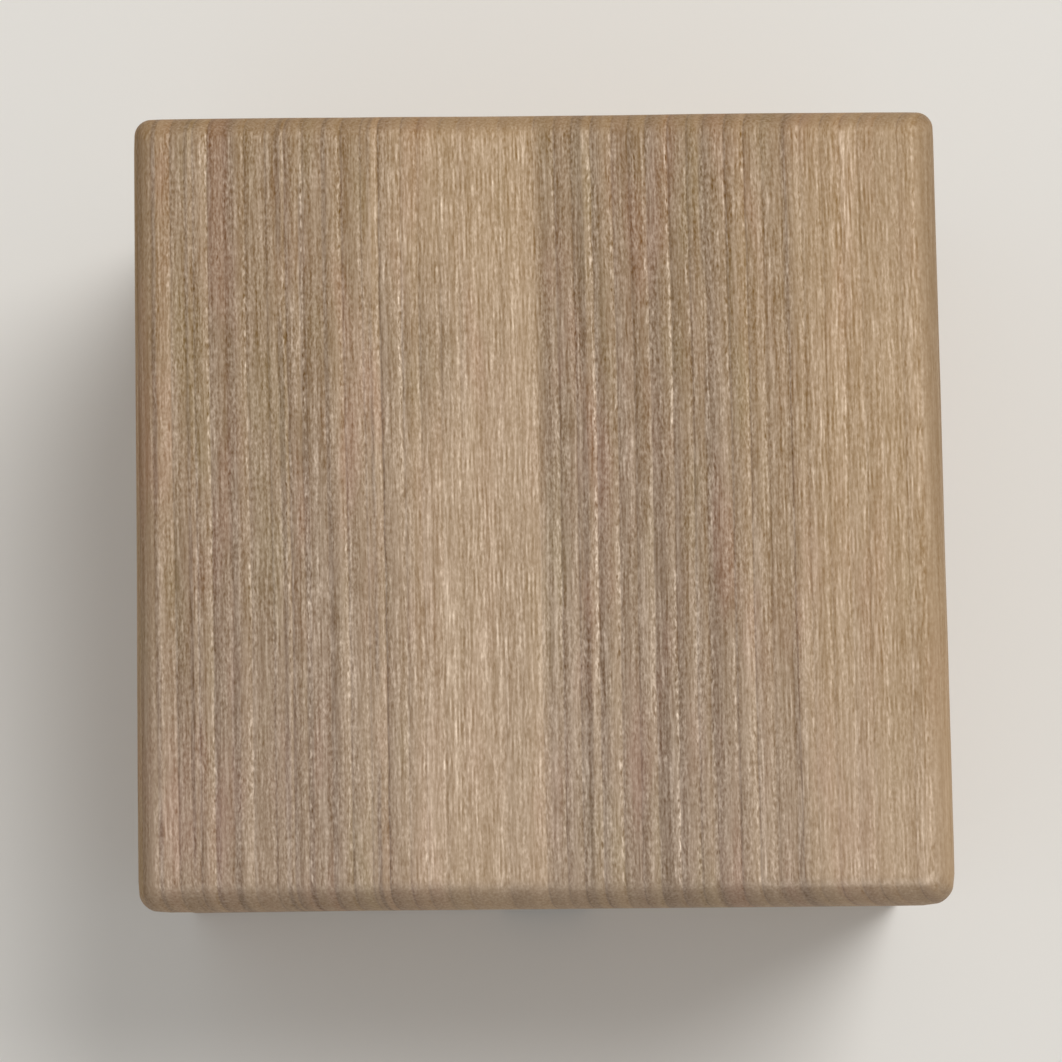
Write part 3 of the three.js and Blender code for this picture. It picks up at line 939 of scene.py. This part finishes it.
class TEABOWLBOX_OT_bowl(Operator):
    """Throws the bowl: a ring drawn up from the foot, over the rim and down inside"""

    bl_idname = "teabowlbox.bowl"
    bl_label = "Bowl"

    # Places on the half section, each as a share of the bowl's radius and of its height.
    HOLLOW = ((0.098, 0.062), (0.311, 0.067), (0.349, 0.034), (0.362, 0.002))
    FOOT_EDGE = ((0.372, 0.0), (0.425, 0.0), (0.441, 0.008))
    OUTSIDE = (
        (0.430, 0.084), (0.689, 0.147), (0.893, 0.294), (0.974, 0.490), (0.962, 0.727),
        (0.989, 0.909), (1.0, 0.978),
    )
    LIP = ((0.996, 0.993), (0.974, 1.002), (0.953, 0.993))
    INSIDE = (
        (0.948, 0.978), (0.907, 0.839), (0.890, 0.671), (0.856, 0.392), (0.689, 0.231),
        (0.344, 0.151), (0.05, 0.134),
    )
    # Rings from each place on a curve to the next, and how often the faces are halved then.
    RINGS = 4
    SMOOTHING = 2
    # Share of the bowl's height that is its foot, which stays as it was turned.
    FOOT_TOP = 0.084
    # Waves round the bowl: how many there are, where they start in radians, and their share.
    WALL_WAVES = ((2, 0.7, 0.6), (3, 2.1, 0.4))
    RIM_WAVES = ((2, 2.4, 0.5), (3, 0.4, 0.5))

    def execute(self, context):
        settings = context.scene.teabowlbox_bowl
        low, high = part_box("bowl")
        bowl = self.throw(settings, self.profile(low, high), low.z)
        self.finish_form(bowl)
        self.leave_by_hand(settings, bowl, low, high)
        put_in_place(bowl, glaze_material(settings, low, high), "bowl", "bowl")
        return {"FINISHED"}

    def profile(self, low, high):
        """Radius and height of each ring, from the hollow under the foot to the well inside."""
        places = (
            *self.smooth_curve(self.HOLLOW), *self.FOOT_EDGE, *self.smooth_curve(self.OUTSIDE),
            *self.LIP, *self.smooth_curve(self.INSIDE),
        )
        return [(radius * high.x, height * (high.z - low.z)) for radius, height in places]

    def smooth_curve(self, places):
        """A curve through the places, with RINGS points to each span."""
        ends = [Vector(place) for place in (places[0], *places, places[-1])]
        points = []
        for before, start, end, after in zip(ends, ends[1:], ends[2:], ends[3:]):
            leave, arrive = (end - before) / 2, (after - start) / 2
            for step in range(self.RINGS):
                t = step / self.RINGS
                points.append(
                    start * (2 * t**3 - 3 * t**2 + 1) + leave * (t**3 - 2 * t**2 + t)
                    + end * (3 * t**2 - 2 * t**3) + arrive * (t**3 - t**2)
                )
        return [tuple(point) for point in (*points, ends[-1])]

    def throw(self, settings, profile, ground):
        """Draws each ring on from the one before, and closes the bowl at both ends."""
        radius, height = profile[0]
        bpy.ops.object.select_all(action="DESELECT")
        bpy.ops.mesh.primitive_circle_add(
            vertices=settings.sides, radius=radius, location=(0, 0, ground + height)
        )
        bowl = bpy.context.object
        bowl.name = "thrown_bowl"
        bpy.ops.object.transform_apply(location=True)
        bpy.ops.object.mode_set(mode="EDIT")
        bpy.ops.mesh.select_all(action="SELECT")
        for next_radius, next_height in profile[1:]:
            lift = (0, 0, next_height - height)
            bpy.ops.mesh.extrude_region_move(TRANSFORM_OT_translate={"value": lift})
            grow = next_radius / radius
            bpy.ops.transform.resize(value=(grow, grow, 1), center_override=(0, 0, 0))
            radius, height = next_radius, next_height
        self.close_ends()
        bpy.ops.object.mode_set(mode="OBJECT")
        return bowl

    def close_ends(self):
        """Draws the last ring in the well and the first one under the foot to the middle."""
        bpy.ops.mesh.extrude_region_move(TRANSFORM_OT_translate={"value": (0, 0, 0)})
        bpy.ops.mesh.merge(type="CENTER")
        bpy.ops.mesh.select_all(action="DESELECT")
        bpy.ops.mesh.select_mode(type="EDGE")
        bpy.ops.mesh.select_non_manifold()
        bpy.ops.mesh.extrude_region_move(TRANSFORM_OT_translate={"value": (0, 0, 0)})
        bpy.ops.mesh.merge(type="CENTER")
        bpy.ops.mesh.select_all(action="SELECT")
        bpy.ops.mesh.remove_doubles(threshold=SAME_PLACE)
        bpy.ops.mesh.normals_make_consistent(inside=False)

    def finish_form(self, bowl):
        smooth = bowl.modifiers.new("smooth", "SUBSURF")
        smooth.levels = self.SMOOTHING
        smooth.render_levels = self.SMOOTHING
        apply_modifiers(bowl)
        bpy.ops.object.shade_smooth()

    def leave_by_hand(self, settings, bowl, low, high):
        """Leaves the potter's spiral, a wall slightly out of round, and a wavy rim."""
        for vertex in bowl.data.vertices:
            place = vertex.co
            angle = math.atan2(place.y, place.x)
            height = place.z - low.z
            share = height / (high.z - low.z)
            turn = math.tau * height / settings.throwing_pitch + angle
            moved = settings.throwing * math.sin(turn) * self.spiral_depth(angle, share)
            moved += settings.out_of_round * self.waves(self.WALL_WAVES, angle) * share
            wall = clamped((share - self.FOOT_TOP) / self.FOOT_TOP)
            grow = 1 + wall * moved / max(math.hypot(place.x, place.y), high.x / 4)
            place.x *= grow
            place.y *= grow
            dip = (1 - self.waves(self.RIM_WAVES, angle)) / 2
            place.z -= settings.wavy_rim * dip * share ** 3

    def spiral_depth(self, angle, share):
        """The spiral fades out towards the rim, and is deeper on some sides than on others."""
        return (1 - share) ** 0.5 * (0.7 + 0.3 * math.sin(2 * angle + 9 * share))

    def waves(self, kinds, angle):
        return sum(part * math.sin(count * angle + start) for count, start, part in kinds)


class TEABOWLBOX_PT_panel(Panel):
    """The steps that finish the model, in order, and their settings"""

    bl_idname = "TEABOWLBOX_PT_panel"
    bl_label = "Boxed Tea Bowl"
    bl_space_type = "VIEW_3D"
    bl_region_type = "UI"
    bl_category = "Tea Bowl"

    def draw(self, context):
        for step in STEPS:
            self.layout.operator(step.bl_idname)
        for group in SETTINGS:
            settings = getattr(context.scene, group)
            column = self.layout.column(align=True)
            for name in settings.__annotations__:
                column.prop(settings, name)


STEPS = (
    TEABOWLBOX_OT_studio,
    TEABOWLBOX_OT_lid_board,
    TEABOWLBOX_OT_battens,
    TEABOWLBOX_OT_walls,
    TEABOWLBOX_OT_nails,
    TEABOWLBOX_OT_bowl,
)
SETTINGS = {
    "teabowlbox_timber": TeaBowlBoxTimber,
    "teabowlbox_bowl": TeaBowlBoxBowl,
    "teabowlbox_studio": TeaBowlBoxStudio,
}
CLASSES = (*SETTINGS.values(), *STEPS, TEABOWLBOX_PT_panel)


def register():
    for made in CLASSES:
        bpy.utils.register_class(made)
    for group, kind in SETTINGS.items():
        setattr(bpy.types.Scene, group, PointerProperty(type=kind))


def unregister():
    for group in SETTINGS:
        delattr(bpy.types.Scene, group)
    for made in reversed(CLASSES):
        bpy.utils.unregister_class(made)


def main():
    register()
    for step in STEPS:
        group, name = step.bl_idname.split(".")
        getattr(getattr(bpy.ops, group), name)()


if __name__ == "__main__":
    main()
